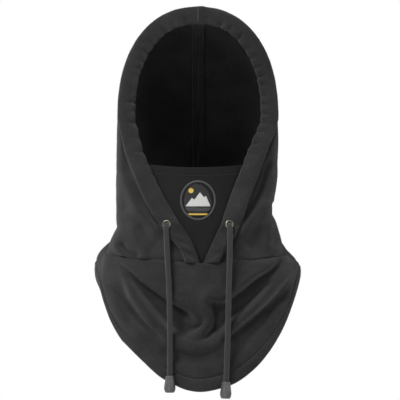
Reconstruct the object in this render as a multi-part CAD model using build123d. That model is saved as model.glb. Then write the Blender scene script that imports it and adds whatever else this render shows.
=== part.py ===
"""A drawstring fleece balaclava: hood, throat bib and face mask, as worn on a head.

Millimetres, +Z up, and the wearer looks along -Y. The origin is the head's seat: the inside of the
crown, where the top of the head bears. Left and right are those of somebody facing the wearer, so
left is -X. Every cloth piece is a plain closed solid of its true outer shape.
"""

from build123d import *
import os
from math import atan, cos, radians, sin, sqrt, tan

# Driving dimensions
CLOTH = 2.0  # fleece thickness
SEAM_GAP = 0.2  # between cloth edges that are sewn together
FAR = 400.0  # beyond the whole object
CLEAR = 1.0  # how far a cut runs past what it cuts

# The hood, seen from the front: an arch over straight sides, a slight waist and a flare at the neck
HALF_WIDTH = 85.0
ARCH_Z = -95.0  # where the arch springs
CROWN_FLAT = 6.0  # half the width of the small flat at the very top
WAIST = (81.0, -205.0)
NECK = (90.0, -238.0)
FORM_BOTTOM = -275.0  # the form runs on down to here, and the neck seam cuts it
FLARE = 6.0  # how much wider the form is there than at the neck
FRONT_BLANK = 150.0  # the form is drawn out forwards by this much, then cut to the front
BACK_Y = 10.0  # the back of the hood is the arch turned about the vertical line here

# The hood's front is a big upright cylinder that leans forward at the chin
FRONT_Y = -72.0  # at the origin's height
FRONT_SLOPE = 1 / 9
FRONT_R = 130.0
FRONT_FILLET = 22.0
LEAN = atan(FRONT_SLOPE)

# The neck seam lies on a plane, lower at the front
NECK_SLOPE = 0.145
NECK_PLANE_Z = -238.0

# The face opening, seen from the front: half an ellipse over a V
FACE = (65.5, 84.0)  # half width, and height of the half ellipse
FACE_Z = -95.0
V_START = (46.0, -165.0)
V_TIP = (1.5, -251.0)

# The cord's casing round the opening
CASING_WIDTH = 16.0
CASING_DEPTH = 16.0  # how far back from the front it reaches over the hood's corner
CASING_OUT = 2.5  # it stands this far proud of the hood
CASING_IN = 7.0  # and this far inside the hood's outer face
CHANNEL_R = 2.9
CHANNEL_INSET = 2.8  # the channel's middle, in from the hood's outer face
CHANNEL_OFFSET = 7.5  # and out from the opening's edge, round the arch
CHANNEL_CHEEK = ((42.5, -191.0), (54.5, -167.0), (65.5, -143.0), (71.5, -118.0))  # between eyelet and arch
CHANNEL_ARCH = (2, 24, 45, 66)  # degrees round the arch
ARC_SHARE = 0.45  # of the shorter run beside a corner, taken by its arc
HIDDEN_CORD_R = 2.2

# Eyelets, with depths from the casing's outer face
EYELET_X = 31.0
EYELET_Z = -214.0
EYELET_HOLE_R = 2.6
EYELET_BARREL_R = 3.0
EYELET_FLANGE_R = 4.3
EYELET_FLANGE = 0.7
EYELET_ROUND = 0.42
EYELET_SEAT = 0.3  # flat let into the curved casing
EYELET_LAYER = 1.6  # cloth that it clamps
BACKING_R = 5.2
BACKING = 0.5
WASHER = 0.5
POCKET_R = 5.6
POCKET_FLOOR = 7.7

# Hanging ends of the cord. The points run from the pivot in front of the eyelet to the cord end's top
CORD_R = 3.0
CORD_END_GAP = 0.3  # between pieces that move past each other
PIVOT_OUT = 3.9  # the pivot's distance out from the casing's face
LEAD_LENGTH = 12.0
CORD_ROUTE = {
    "left": [
        (-31.9, -98.4, -213.6),
        (-30.3, -103.2, -246.0),
        (-28.2, -107.6, -278.0),
        (-27.4, -113.3, -320.0),
        (-27.5, -119.3, -361.8),
    ],
    "right": [
        (31.9, -98.4, -213.6),
        (31.4, -103.3, -246.0),
        (30.3, -108.2, -281.0),
        (29.4, -114.1, -324.0),
        (27.6, -120.3, -367.5),
    ],
}

# Cord ends, with depths from their top
BELL = ((4.1, 0.0), (4.8, 5.0), (5.75, 12.5), (5.1, 16.5))  # outer (radius, depth)
BELL_CAVITY = ((3.6, 4.0), (4.1, 8.0), (4.6, 12.5), (4.1, 16.5))
BELL_BORE_R = CORD_R + 0.35
BELL_ROUND = 0.4
KNOT_R = 3.5
KNOT_DEPTH = 8.6
KNOT_BITE = 0.6  # the cord runs this far into the knot
STUB_R = 2.6
STUB_DEPTH = 15.5

# Mask
MASK_TOP = -156.0
MASK_TOP_DIP = 2.7  # the top edge is this much lower in the middle than at the hood's sides
MASK_BOTTOM = -258.0
MASK_HEM = 10.0
MASK_INSET = 9.0
MASK_MARGIN = 13.0  # how far it reaches behind the casing
MASK_HEM_RAISE = 0.4
MASK_SEAM = (-226.0, -240.0)  # the stretch where its edges are tacked to the casings
MASK_SEAM_WIDTH = 5.0
PATCH_Z = -190.0
PATCH = (18.0, 20.0)
PATCH_CLOTH = 0.9
PATCH_EDGE = 1.8
MOTIF_RAISE = 0.4
MOTIF = ((-13, -4), (-6, 6), (-3, 2.5), (2.5, 11), (8, 3), (10, 5.5), (14, -4), (9, -9), (-9, -9))

# Bib
BIB_SEAM = (107.0, -262.0)  # where the front and back flaps part at the sides
FRONT_DROP = 115.0
BACK_DROP = 92.0
HEM_LINE_POWER = 1.25  # 1 makes the flaps' edges ellipses, more makes them pointed
SPLIT_Y = 4.0  # the front and back flaps meet at this depth
BIB_HEM = 10.0
HEM_RAISE = 0.8  # the hem stands proud of the bib by this much, outside and inside
BIB_RINGS = (  # height, half width, front and back of the bib's outside
    (-210.0, 86.0, -96.0, 94.0),
    (-238.0, 92.0, -99.5, 100.0),
    (-262.0, 107.0, -101.5, 108.0),
    (-320.0, 112.0, -106.0, 113.0),
    (-400.0, 112.0, -104.0, 112.0),
)
RING_POINTS = 24
FRONT_POWER = 3.0  # how square a ring is: 2 is an ellipse
BACK_POWER = 2.2

# Seam allowances inside the hood
ALLOWANCE = 7.0
ALLOWANCE_CLOTH = 1.6


def front_axis():
    """A point on the front cylinder's axis at the origin's height, and the axis's direction."""
    return Vector(0, FRONT_Y + FRONT_R / cos(LEAN), 0), Vector(0, sin(LEAN), cos(LEAN))


def front_cylinder(inset):
    middle, along = front_axis()
    plane = Plane(origin=middle - along * FAR, x_dir=(1, 0, 0), z_dir=along)
    return plane * Cylinder(FRONT_R - inset, 2 * FAR, align=(Align.CENTER, Align.CENTER, Align.MIN))


def front_layer(outside, inside):
    """The front's curved sheet between two insets."""
    return front_cylinder(outside) - front_cylinder(inside)


def front_plane(x, z, inset):
    """The plane that touches the front, moved in by inset, at this place. It faces out."""
    middle, along = front_axis()
    depth = sqrt((FRONT_R - inset) ** 2 - x**2)
    back = Vector(0, cos(LEAN), -sin(LEAN)) * depth
    axis_point = middle + along * ((z + back.Z) / along.Z)
    point = axis_point + Vector(x, 0, 0) - back
    return Plane(origin=point, x_dir=along, z_dir=point - axis_point)


def above_neck(lift):
    """Everything above the neck seam's plane, raised by lift."""
    up = Vector(0, -NECK_SLOPE, 1).normalized()
    plane = Plane(origin=Vector(0, 0, NECK_PLANE_Z) + up * lift, x_dir=(1, 0, 0), z_dir=up)
    return plane * Box(2 * FAR, 2 * FAR, FAR, align=(Align.CENTER, Align.CENTER, Align.MIN))


def slab(low, high):
    """A box between two corners."""
    size = [b - a for a, b in zip(low, high)]
    return Pos(*low) * Box(*size, align=(Align.MIN, Align.MIN, Align.MIN))


def half_arch(inset):
    """The right half of the hood's outline seen from the front, where its back starts."""
    wide, top = HALF_WIDTH - inset, CLOTH - inset
    reach, rise = wide - CROWN_FLAT, top - ARCH_Z
    arch = EllipticalCenterArc((CROWN_FLAT, ARCH_Z), reach, rise, start_angle=0, arc_size=90)
    side = Spline(
        (wide, ARCH_Z),
        (WAIST[0] - inset, WAIST[1]),
        (NECK[0] - inset, NECK[1]),
        (NECK[0] + FLARE - inset, FORM_BOTTOM),
        tangents=((0, -1), (0.1, -1)),
    )
    rest = Polyline(side @ 1, (0, FORM_BOTTOM), (0, top), (CROWN_FLAT, top))
    plane = Plane(origin=(0, BACK_Y, 0), x_dir=(1, 0, 0), z_dir=(0, -1, 0))
    return plane * make_face([arch, side, rest])


def half_form(inset):
    """The right half of the hood's solid form, without openings, moved in by inset."""
    half = half_arch(inset)
    front = extrude(half, amount=FRONT_BLANK, dir=(0, -1, 0)) & front_cylinder(inset)
    form = front + revolve(half, axis=Axis((0, BACK_Y, 0), (0, 0, 1)), revolution_arc=90)
    face = form.faces().filter_by(GeomType.CYLINDER)[0]
    rim = [e for e in face.edges() if e.center().Z > FORM_BOTTOM + CLEAR and e.center().X > CLEAR]
    return fillet(rim, FRONT_FILLET - inset)


def pair(right, name):
    """A right-hand piece and its mirror image, as two nodes."""
    return {f"{name}_left": mirror(right, about=Plane.YZ), f"{name}_right": right}


def v_offset(point, offset):
    """A point on the V, moved out from the opening."""
    run = Vector(V_START[0] - V_TIP[0], V_START[1] - V_TIP[1]).normalized()
    return point[0] + run.Y * offset, point[1] - run.X * offset


def face_column(offset):
    """Everything in front of and behind the face opening, made larger by offset."""
    start = (FACE[0] + offset, FACE_Z)
    v_start, v_tip = v_offset(V_START, offset), v_offset(V_TIP, offset)
    arch = EllipticalCenterArc((0, FACE_Z), start[0], FACE[1] + offset, start_angle=0, arc_size=90)
    run = (v_tip[0] - v_start[0], v_tip[1] - v_start[1])
    cheek = Spline(start, v_start, tangents=((0, -1), run))
    rest = Polyline(v_start, v_tip, (v_tip[0], -FAR), (0, -FAR), (0, FACE_Z + FACE[1] + offset))
    half = Plane.XZ * make_face([arch, cheek, rest])
    both = half + mirror(half, about=Plane.YZ)
    return extrude(both, amount=FAR, dir=(0, -1, 0))


def casing_zone(inner, outer):
    """The band round the opening between two offsets, and only near the hood's front."""
    return face_column(outer) - face_column(inner) - front_cylinder(CASING_DEPTH)


def eyelet_plane(side):
    x = EYELET_X if side == "right" else -EYELET_X
    return front_plane(x, EYELET_Z, -CASING_OUT)


def disc(plane, radius, near, far):
    """A round plug on a plane's axis from near to far below it."""
    height = far - near
    return plane.offset(-far) * Cylinder(radius, height, align=(Align.CENTER, Align.CENTER, Align.MIN))


def ring(plane, outer, inner, near, far):
    return disc(plane, outer, near, far) - disc(plane, inner, near - CLEAR, far + CLEAR)


def filleted_path(points):
    """Straight runs with arcs as large as they allow, and the arcs' radii."""
    points = [Vector(*p) for p in points]
    radii = []
    for before, corner, after in zip(points, points[1:], points[2:]):
        turn = (corner - before).get_angle(after - corner)
        shorter = min((corner - before).length, (after - corner).length)
        radii.append(ARC_SHARE * shorter / tan(radians(turn / 2)))
    return FilletPolyline(*points, radius=radii), radii


def tube(points, radius, name):
    path, radii = filleted_path(points)
    section = Plane(origin=path @ 0, z_dir=path % 0) * Circle(radius)
    solid = sweep(section, path=path)
    share = solid.volume / (section.area * path.length)
    print(name, "length", round(path.length, 1), "radii", [round(r, 1) for r in radii],
          "volume share", round(share, 4))
    return solid


def channel_points():
    """Middle of the cord's channel, from the left eyelet over the crown to the right one."""
    wide, high = FACE[0] + CHANNEL_OFFSET, FACE[1] + CHANNEL_OFFSET
    seen = [(EYELET_X, EYELET_Z), *CHANNEL_CHEEK]
    for angle in CHANNEL_ARCH:
        seen.append((wide * cos(radians(angle)), FACE_Z + high * sin(radians(angle))))
    seen.append((0, FACE_Z + high))
    mid_form = half_form(CHANNEL_INSET)
    half = []
    for x, z in seen:
        hits = mid_form.find_intersection_points(Axis((max(x, SEAM_GAP), -FAR, z), (0, 1, 0)))
        point = min((point for point, _ in hits), key=lambda p: p.Y)
        half.append(Vector(x, point.Y, point.Z))
    mirrored = [Vector(-p.X, p.Y, p.Z) for p in half]
    return mirrored[:-1] + [half[-1]] + half[-2::-1]


def hood_panels():
    shell = (half_form(0) - half_form(CLOTH)) & above_neck(SEAM_GAP / 2)
    shell -= face_column(CASING_WIDTH) - front_cylinder(CASING_DEPTH)
    return pair(shell, "hood_panel")


def casings(route):
    """Both halves of the thick band that the cord runs in, with the cord's channel."""
    band = half_form(-CASING_OUT) - half_form(CASING_IN)
    band = (band & above_neck(SEAM_GAP / 2)) & casing_zone(0, CASING_WIDTH - SEAM_GAP)
    plane = eyelet_plane("right")
    band -= tube(route, CHANNEL_R, "channel")
    band -= disc(plane, EYELET_FLANGE_R + SEAM_GAP, -FRONT_FILLET, EYELET_SEAT)
    band -= disc(plane, EYELET_BARREL_R, 0, EYELET_SEAT + EYELET_LAYER + CLEAR)
    band -= disc(plane, POCKET_R, EYELET_SEAT + EYELET_LAYER, POCKET_FLOOR)
    return pair(band.solids().sort_by(SortBy.VOLUME)[-1], "cord_casing")


def seams():
    """The edges turned inside: a pair over the crown and down the back, a pair round the neck."""
    folded = half_form(CLOTH) - half_form(CLOTH + ALLOWANCE_CLOTH)
    crown = folded & above_neck(ALLOWANCE + CLEAR)
    crown &= slab((0, -FAR, -FAR), (ALLOWANCE, FAR, FAR))
    crown &= front_cylinder(CASING_DEPTH + CLEAR)
    neck = (folded & above_neck(SEAM_GAP / 2)) - above_neck(ALLOWANCE)
    neck -= face_column(CASING_WIDTH + SEAM_GAP)
    neck = neck.solids().sort_by(SortBy.VOLUME)[-1]
    made = {}
    for name, right in (("crown_seam", crown), ("neck_seam", neck)):
        made[name] = Compound(children=[right, mirror(right, about=Plane.YZ)])
    return made


def eyelets():
    made = {}
    for side in ("left", "right"):
        plane = eyelet_plane(side)
        clamp = EYELET_SEAT + EYELET_LAYER
        flange = disc(plane, EYELET_FLANGE_R, EYELET_SEAT - EYELET_FLANGE, EYELET_SEAT)
        outer_rim = [e for e in flange.edges() if (e.center() - plane.origin).dot(plane.z_dir) > 0]
        flange = fillet(outer_rim, EYELET_ROUND)
        barrel = disc(plane, EYELET_BARREL_R, EYELET_SEAT, clamp + BACKING + WASHER)
        made[f"eyelet_{side}"] = (flange + barrel) - disc(plane, EYELET_HOLE_R, -PIVOT_OUT, POCKET_FLOOR)
        made[f"eyelet_backing_{side}"] = ring(plane, BACKING_R, EYELET_BARREL_R, clamp, clamp + BACKING)
        made[f"eyelet_washer_{side}"] = ring(
            plane, EYELET_FLANGE_R, EYELET_BARREL_R, clamp + BACKING, clamp + BACKING + WASHER
        )
    return made


def hidden_cord(route):
    """The cord inside the casing, out through both eyelets."""
    end = PIVOT_OUT - CORD_R - CORD_END_GAP
    out = {side: eyelet_plane(side).origin + eyelet_plane(side).z_dir * end for side in ("left", "right")}
    points = [out["left"]] + route + [out["right"]]
    return {"drawcord": tube(points, HIDDEN_CORD_R, "drawcord")}


def cord_ends():
    """Each hanging end of the cord: a lead at the eyelet, the tail, its knot and its bell."""
    made = {}
    for side, route in CORD_ROUTE.items():
        points = [Vector(*p) for p in route]
        first = (points[1] - points[0]).normalized()
        last = (points[-1] - points[-2]).normalized()
        lead_plane = Plane(origin=points[0], z_dir=first)
        lead = lead_plane * Cylinder(CORD_R, LEAD_LENGTH, align=(Align.CENTER, Align.CENTER, Align.MIN))
        made[f"cord_lead_{side}"] = lead + lead_plane * Sphere(CORD_R)
        knot_top = points[-1] + last * (KNOT_DEPTH - KNOT_R + KNOT_BITE)
        tail_points = [points[0] + first * (LEAD_LENGTH + CORD_END_GAP)] + points[1:-1] + [knot_top]
        tail = tube(tail_points, CORD_R, f"cord_tail_{side}")
        end_plane = Plane(origin=points[-1], x_dir=(1, 0, 0), z_dir=last)
        knot = end_plane.offset(KNOT_DEPTH) * Sphere(KNOT_R)
        knot += end_plane.offset(KNOT_DEPTH) * Cylinder(
            STUB_R, STUB_DEPTH - KNOT_DEPTH, align=(Align.CENTER, Align.CENTER, Align.MIN)
        )
        made[f"cord_tail_{side}"] = tail
        made[f"cord_knot_{side}"] = knot - tail
        made[f"cord_end_{side}"] = end_plane * bell()
    return made


def bell():
    """A bell-shaped cord end along +Z from its top, open at the bottom."""
    outside = Spline(*[(r, z) for r, z in BELL])
    lip = Line(outside @ 1, BELL_CAVITY[-1])
    inside = Spline(*reversed(BELL_CAVITY))
    bore = Polyline(inside @ 1, (BELL_BORE_R, BELL_CAVITY[0][1]), (BELL_BORE_R, 0), BELL[0])
    profile = Plane.XZ * make_face([outside, lip, inside, bore])
    body = revolve(profile, axis=Axis.Z)
    circles = body.edges().filter_by(GeomType.CIRCLE)
    rims = [e for e in circles if e.center().Z < SEAM_GAP and e.radius > BELL_BORE_R + SEAM_GAP]
    return fillet(rims, BELL_ROUND)


def column(face):
    """A flat shape on the front view's plane, drawn out towards the wearer's front."""
    return extrude(Plane.XZ * face, amount=FAR, dir=(0, -1, 0))


def mask_column(margin, top, bottom):
    """Everything in front of and behind the mask between two heights, its top edge dipping."""
    left, right = (-HALF_WIDTH, top + MASK_TOP_DIP), (HALF_WIDTH, top + MASK_TOP_DIP)
    edge = ThreePointArc(left, (0, top), right)
    rest = Polyline(right, (HALF_WIDTH, bottom), (-HALF_WIDTH, bottom), left)
    return face_column(margin) & column(make_face([edge, rest]))


def mask():
    hem_bottom = MASK_TOP - MASK_HEM
    layer = front_layer(MASK_INSET, MASK_INSET + CLOTH)
    panel = layer & mask_column(MASK_MARGIN, hem_bottom - SEAM_GAP, MASK_BOTTOM)
    hem_layer = front_layer(MASK_INSET - MASK_HEM_RAISE, MASK_INSET + CLOTH)
    hem = hem_layer & mask_column(MASK_MARGIN, MASK_TOP, hem_bottom - CLEAR)
    hem -= mask_column(MASK_MARGIN + CLEAR, hem_bottom, MASK_BOTTOM)
    edges = face_column(MASK_MARGIN) - face_column(MASK_MARGIN - MASK_SEAM_WIDTH)
    tacks = front_layer(CASING_IN, MASK_INSET) & edges
    tacks &= slab((0, -FAR, MASK_SEAM[1]), (FAR, FAR, MASK_SEAM[0]))
    return {"mask_panel": panel, "mask_hem": hem, **pair(tacks, "mask_tack")}


def patch():
    """An oval badge with a plain range of peaks."""
    at = Pos(0, PATCH_Z)
    whole = column(at * Ellipse(*PATCH))
    field = column(at * Ellipse(PATCH[0] - PATCH_EDGE, PATCH[1] - PATCH_EDGE))
    peaks = column(at * make_face(Polyline(*MOTIF, close=True)))
    cloth = front_layer(MASK_INSET - PATCH_CLOTH, MASK_INSET)
    raised = front_layer(MASK_INSET - PATCH_CLOTH - MOTIF_RAISE, MASK_INSET - PATCH_CLOTH)
    edge = front_layer(MASK_INSET - PATCH_CLOTH - MOTIF_RAISE, MASK_INSET)
    return {
        "mask_patch": cloth & field,
        "patch_border": edge & (whole - field),
        "patch_motif": raised & peaks,
    }


def bib_form(inset):
    """The bib's solid form, moved in by inset."""
    rings = []
    for z, wide, front, back in BIB_RINGS:
        middle = SPLIT_Y
        points = []
        for step in range(RING_POINTS):
            angle = radians(360 / RING_POINTS * step)
            power = BACK_POWER if sin(angle) > 0 else FRONT_POWER
            reach = (back if sin(angle) > 0 else -front + 2 * middle) - middle - inset
            across = abs(cos(angle)) ** (2 / power) * (wide - inset)
            along = abs(sin(angle)) ** (2 / power) * reach
            x = across if cos(angle) > 0 else -across
            y = along if sin(angle) > 0 else -along
            points.append((x, middle + y))
        rings.append(Pos(0, 0, z) * make_face(Spline(*points, periodic=True)))
    return loft(rings)


def drop_column(drop, inset):
    """Everything inside a flap's U-shaped hem line, seen from the front."""
    wide, seam_z = BIB_SEAM
    points = []
    for angle in range(0, 91, 15):
        across = (wide - inset) * cos(radians(angle)) ** HEM_LINE_POWER
        points.append((across, seam_z - (drop - inset) * sin(radians(angle)) ** HEM_LINE_POWER))
    points[-1] = (0, seam_z - drop + inset)
    curve = Spline(*points, tangents=((0, -1), (-1, 0)))
    rest = Polyline((0, points[-1][1]), (0, 0), (FAR, 0), (FAR, seam_z), points[0])
    half = Plane.XZ * make_face([curve, rest])
    both = half + mirror(half, about=Plane.YZ)
    return extrude(both, amount=FAR, both=True)


def bib():
    thin = bib_form(0) - bib_form(CLOTH)
    thick = bib_form(-HEM_RAISE) - bib_form(CLOTH + HEM_RAISE)
    below = above_neck(-SEAM_GAP / 2)
    made = {}
    for name, drop, depth in (("front", FRONT_DROP, (-FAR, SPLIT_Y)), ("back", BACK_DROP, (SPLIT_Y, FAR))):
        inset = SEAM_GAP / 2
        half = slab((-FAR, depth[0] + inset, -FAR), (FAR, depth[1] - inset, 0))
        inner = drop_column(drop, BIB_HEM)
        made[f"bib_{name}"] = ((thin & half) - below) & inner
        band = ((thick & half) & drop_column(drop, 0)) - inner
        band -= slab((-FAR, -FAR, BIB_SEAM[1]), (FAR, FAR, 0))
        made[f"bib_hem_{name}"] = band
    return made


def build():
    os.makedirs("parts", exist_ok=True)
    route = channel_points()
    nodes = {}
    nodes.update(hood_panels())
    nodes.update(casings(route))
    nodes.update(seams())
    nodes.update(eyelets())
    nodes.update(hidden_cord(route))
    nodes.update(cord_ends())
    nodes.update(mask())
    nodes.update(patch())
    nodes.update(bib())
    for name, shape in nodes.items():
        export_step(shape, f"parts/{name}.step")


if __name__ == "__main__":
    build()
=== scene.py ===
"""The balaclava's looks: fleece hood, throat bib, face mask and drawcord, around the CAD model.

Shapes are worked out in millimetres, in the model's frame, and become metres as meshes are made. x runs
to the right seen from the front, z up, and y away from somebody facing the wearer. Folds are given as
lines seen from the front, from left to right or from top to bottom.
"""

import math

import bpy
import numpy as np
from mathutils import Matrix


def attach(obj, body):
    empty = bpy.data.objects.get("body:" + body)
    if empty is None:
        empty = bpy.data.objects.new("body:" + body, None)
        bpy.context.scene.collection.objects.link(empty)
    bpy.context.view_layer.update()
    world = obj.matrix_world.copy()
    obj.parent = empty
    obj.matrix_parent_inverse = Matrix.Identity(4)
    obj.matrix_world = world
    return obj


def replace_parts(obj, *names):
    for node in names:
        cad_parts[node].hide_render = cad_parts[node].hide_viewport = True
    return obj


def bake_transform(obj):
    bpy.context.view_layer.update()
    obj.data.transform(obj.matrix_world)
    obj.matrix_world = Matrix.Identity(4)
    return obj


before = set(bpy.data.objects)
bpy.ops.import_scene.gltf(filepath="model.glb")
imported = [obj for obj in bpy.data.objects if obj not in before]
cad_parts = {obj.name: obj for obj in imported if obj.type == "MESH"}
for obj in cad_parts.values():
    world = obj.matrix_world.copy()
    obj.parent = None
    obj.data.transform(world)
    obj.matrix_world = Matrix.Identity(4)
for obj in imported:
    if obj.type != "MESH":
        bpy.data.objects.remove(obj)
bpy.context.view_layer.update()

MM = 0.001
SIDES = {-1: "left", 1: "right"}

# The hood's form, near the CAD model's
HALF_WIDTHS = {-1: 82.9, 1: 81.6}
CROWN_Z = 5.6
ARCH_Z = -105.0
ARCH_POWER = 2.3
SIDE_LINES = {
    -1: ((82.9, -105), (83.4, -135), (83.5, -165), (83.5, -190), (83, -205), (82.6, -212), (85.6, -219),
         (89.6, -228), (94, -238)),
    1: ((81.6, -105), (82.2, -130), (81, -155), (79, -170), (77, -184), (75.2, -198), (77.6, -205),
        (82, -214), (85.4, -226), (87.6, -238)),
}
BACK_Y = 10.0
FRONT_R = 130.0
LEAN = math.atan(1 / 9)
FRONT_AXIS_Y = -72.0 + FRONT_R / math.cos(LEAN)
CORNER_R = 22.0
SEAM_SLOPE = 0.145
SEAM_FRONT_Z = -252.6
FACE_HALF_WIDTH = 65.7
FACE_TOP = -10.0
FACE_ARCH_Z = -100.0
FACE_POWER = 2.15
FACE_EDGES = {
    -1: ((65.7, -100), (65.2, -108), (63, -118), (60.4, -128), (56.6, -141), (48, -160.6), (37.6, -181.7),
         (25, -202.8), (13.3, -219.8), (4.6, -235), (-1.8, -252.6)),
    1: ((65.7, -100), (65.2, -108), (61.8, -118), (57, -128), (51.6, -141), (43.8, -160.6), (35, -181.7),
        (27.5, -202.8), (20.6, -219.8), (13.6, -235), (5.4, -252.6)),
}
CLOTH = 1.8
CASING = 17.0  # width of the cord's casing
CASING_END = 12.5  # and at its lower end
CASING_TUCK = 3.0  # the hood's cloth starts this far inside the casing
CASING_TALL = 4.9  # the casing's top above the hood's form
CASING_DEEP = 3.6  # and its underside below it
CASING_FOLLOW = 0.001  # how far its underside follows its top
CASING_GRID = (420, 26)
CHEEK_FADE = (165, 225)  # its pleats die out between these lengths from the crown
END_CREASES = (42, 12)  # its slanting creases set in between these lengths from its lower end
EYELET_FLAT_R = 7.5  # and it lies flatter this near to its eyelet
HOOD_GRID = 170
FOLD_STRENGTH = 1.8
EYELET = (31.0, -214.0)
EYELET_SINK = 1.6  # its ring's middle stands this far off the CAD eyelet's
PANEL_GAP = 0.15  # from the middle plane to each half's edge
SEAM_ROWS = 340  # along the casing, for its stitches
SEAM_CLOTH = 1.3  # the pressed seam allowances inside
SEAM_WIDTH = 6.6

# The casing's pleats: the distance between them, their depths, and each side's seed
PLEAT_PITCH = (8.0, 16.0)
PLEAT_DEPTH = (0.35, 1.0)
PLEAT_SEEDS = {-1: 5, 1: 8}
CREASE_HEIGHTS = {-1: 1.2, 1: 0.45}

# Waves of each cloth: height, pitch and seed, and the hood's depths between which they set in
HOOD_WAVES = ((1.6, 95, 3, 0.0, 40.0), (0.9, 48, 9, -60.0, 20.0))
CASING_WAVES = ((0.55, 34, 31), (0.3, 17, 35))
BIB_WAVES = ((0.45, 24, 41), (0.5, 55, 44))

# The bib's form
SPLIT_Y = 4.0
BIB_WIDTHS = {
    -1: ((-222, 86), (-231, 94), (-239, 101.5), (-248, 105.0), (-257, 105.8), (-264, 105.8), (-320, 109),
         (-400, 109)),
    1: ((-222, 80), (-234, 85), (-242, 90), (-251, 99.5), (-258, 103.4), (-266, 105.2), (-320, 108),
        (-400, 108)),
}
BIB_FRONTS = ((-225, -97.0), (-252, -99.5), (-262, -100.0), (-300, -104.0), (-340, -108.0), (-400, -113.0))
BIB_BACKS = ((-205, 92.0), (-224, 98.0), (-236, 106.0), (-262, 109.0), (-320, 113.0), (-400, 112.0))
FRONT_POWER = 3.0
BACK_POWER = 2.2
FRONT_HEM = (
    (105, -262), (103, -271), (99.4, -280), (93.4, -295), (86.6, -310), (78, -325.5), (67.6, -340),
    (54.4, -354), (36.4, -366.5), (18, -372.4), (3, -374.8), (-10, -373.2), (-22, -368.4), (-37, -360.2),
    (-53.6, -346), (-69.8, -331), (-77, -323.5), (-86, -308.5), (-92.4, -294), (-97.4, -280), (-102.4, -271),
    (-105.6, -262),
)
BACK_HEM = (
    (105, -262), (98, -284), (88, -306), (71, -328), (50, -344), (25, -352), (0, -354), (-25, -352),
    (-50, -344), (-71, -328), (-88, -306), (-97, -284), (-105.6, -262),
)
HEM = 9.0  # depth of the turned-up hem
HEM_TURN_R = 2.0
HEM_TURNS = (30, 60, 90, 120, 150, 180)  # degrees round its lower edge
HEM_BACK_ROWS = 5  # it runs back up inside for this many rows
BIB_CLOTH = 1.6
BIB_GRID = (120, 230)
BIB_OVERLAP = 0.9  # each flap reaches this far past the split

# The mask
MASK_TOP = -156.0
MASK_BOTTOM = -257.0
MASK_INSET = 9.0
MASK_PAST_EDGE = 13.0  # how far it reaches behind the casings
MASK_HALF_MOST = 62.0
MASK_CLOTH_THICK = 1.4
MASK_GRID = (70, 90)
MASK_FOLD = 0.6
MASK_DIP = 1.0  # its top edge is lower in the middle
MASK_HEM_HALF = 58.0
MASK_HEM_DROP = 10.0
MASK_HEM_SEAM = 8.2
PATCH = (0.0, -190.0, 17.6, 19.6)  # centre x and z, half width and half height
RIM_R = 1.15  # the patch's rim, and how deep its threads are cut
RIM_THREAD = 0.14
RIM_INSET = 0.6
SUN = (-7.0, 9.6, 2.6)  # centre from the patch's, and radius

# The cord's hanging ends, in metres, from the eyelet's pivot to the cord end's top
CORD_DRAWN = (5.5, 4.8)  # the cord lies a little flattened, in millimetres
CORD_ROUTE = {
    "left": [
        (-0.0319, -0.0984, -0.2136), (-0.0303, -0.1032, -0.2460), (-0.0282, -0.1076, -0.2780),
        (-0.0274, -0.1133, -0.3200), (-0.0275, -0.1193, -0.3618),
    ],
    "right": [
        (0.0319, -0.0984, -0.2136), (0.0314, -0.1033, -0.2460), (0.0303, -0.1082, -0.2810),
        (0.0294, -0.1141, -0.3240), (0.0276, -0.1203, -0.3675),
    ],
}
CORD_START = 0.007  # the hanging cord is drawn from here below its pivot
CORD_TIP = 0.006  # to here inside the cord end
BEND_REACH = 0.0085  # the bend at the eyelet reaches this far on both sides of the pivot
BEND_SLIM = 0.74  # its width where it leaves the eyelet
SLIM_LENGTH = 7.0
BRAID_STEP = 0.25
BRAID_TURN = 1.15  # radians that a strand turns in each millimetre
BRAID_PAIRS = 3
BRAID_HEIGHT = 0.34
CORD_SIDES = 48
TURNED_SIDES = 64

# Turned pieces, as radius and depth
BELL = (
    (2.9, 0.4), (3.5, 0.0), (4.1, 0.35), (4.3, 1.6), (4.75, 5.0), (5.3, 8.6), (5.6, 11.4), (5.4, 13.6),
    (4.85, 15.2), (4.2, 16.1), (3.7, 16.4), (3.5, 15.8), (3.9, 14.0), (4.3, 12.0), (4.1, 8.0), (3.8, 4.6),
    (3.0, 3.4),
)
EYELET_RING = (
    (2.95, 1.2), (3.0, 0.2), (3.3, -0.35), (3.7, -0.5), (4.1, -0.2), (4.2, 0.3), (3.9, 0.35), (3.6, 0.2),
    (3.4, 0.6), (3.35, 1.2),
)

# Kinds of stitches: length, gap, thickness and how far they stand out
HEM_STITCH = (2.6, 1.5, 0.35, 0.25)
CASING_STITCH = (2.4, 1.4, 0.22, -0.05)
MASK_STITCH = (2.2, 1.2, 0.28, 0.2)
SEAM_STITCH = (1.6, 0.8, 0.25, 0.15)
JOIN_STITCH = (1.5, 0.5, 0.42, 0.3)

# Loose fibres: their size, and how many and from which seed on each kind of piece
NAP_TALL = 1.15
NAP_THICK = 0.16
HOOD_NAP = (9000, 60)
CASING_NAP = (7000, 70)
BIB_NAP = (9000, 80)

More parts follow.
